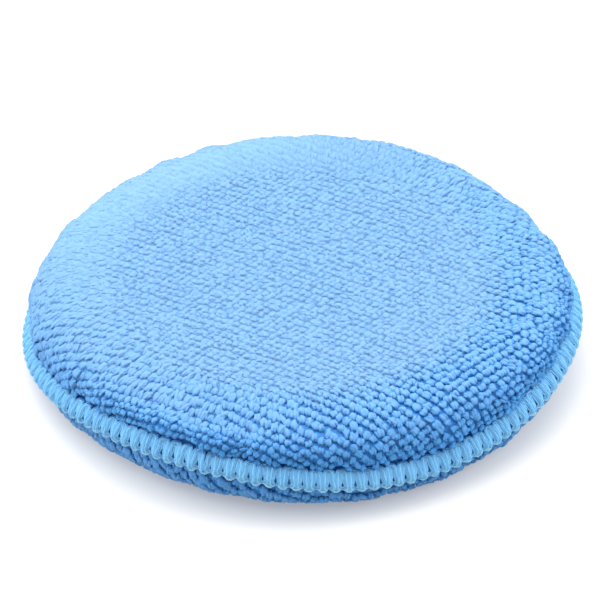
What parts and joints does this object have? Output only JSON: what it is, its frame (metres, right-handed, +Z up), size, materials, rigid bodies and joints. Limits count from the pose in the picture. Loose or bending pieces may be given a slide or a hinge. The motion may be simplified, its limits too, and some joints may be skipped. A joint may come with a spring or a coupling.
{
  "type": "polishing pad",
  "caption": "Round hand pad of terry cloth over foam, for applying and buffing polish or wax; two working faces joined by an overlocked edge.",
  "frame": {"origin": "middle of the flat underside, which is the bottom centre of the whole pad", "axes": "+Z up through the pad's thickness, from one working face to the other; X and Y lie in the pad's plane"},
  "size_m": [0.128, 0.128, 0.022],
  "materials": {
    "terry_upper": "matte, looped microfibre terry",
    "terry_lower": "matte, looped microfibre terry",
    "sponge": "matte, open-cell polyurethane sponge",
    "needle_yarn": "satin, twisted polyester thread",
    "looper_yarn": "satin, textured polyester thread",
    "looper_yarn_pale": "satin, textured polyester thread"
  },
  "bodies": {
    "root": {"upper_cover": "terry_upper", "lower_cover": "terry_lower", "foam_core": "sponge", "needle_thread": "needle_yarn", "upper_looper_thread": "looper_yarn", "lower_looper_thread": "looper_yarn_pale"}
  },
  "joints": []
}
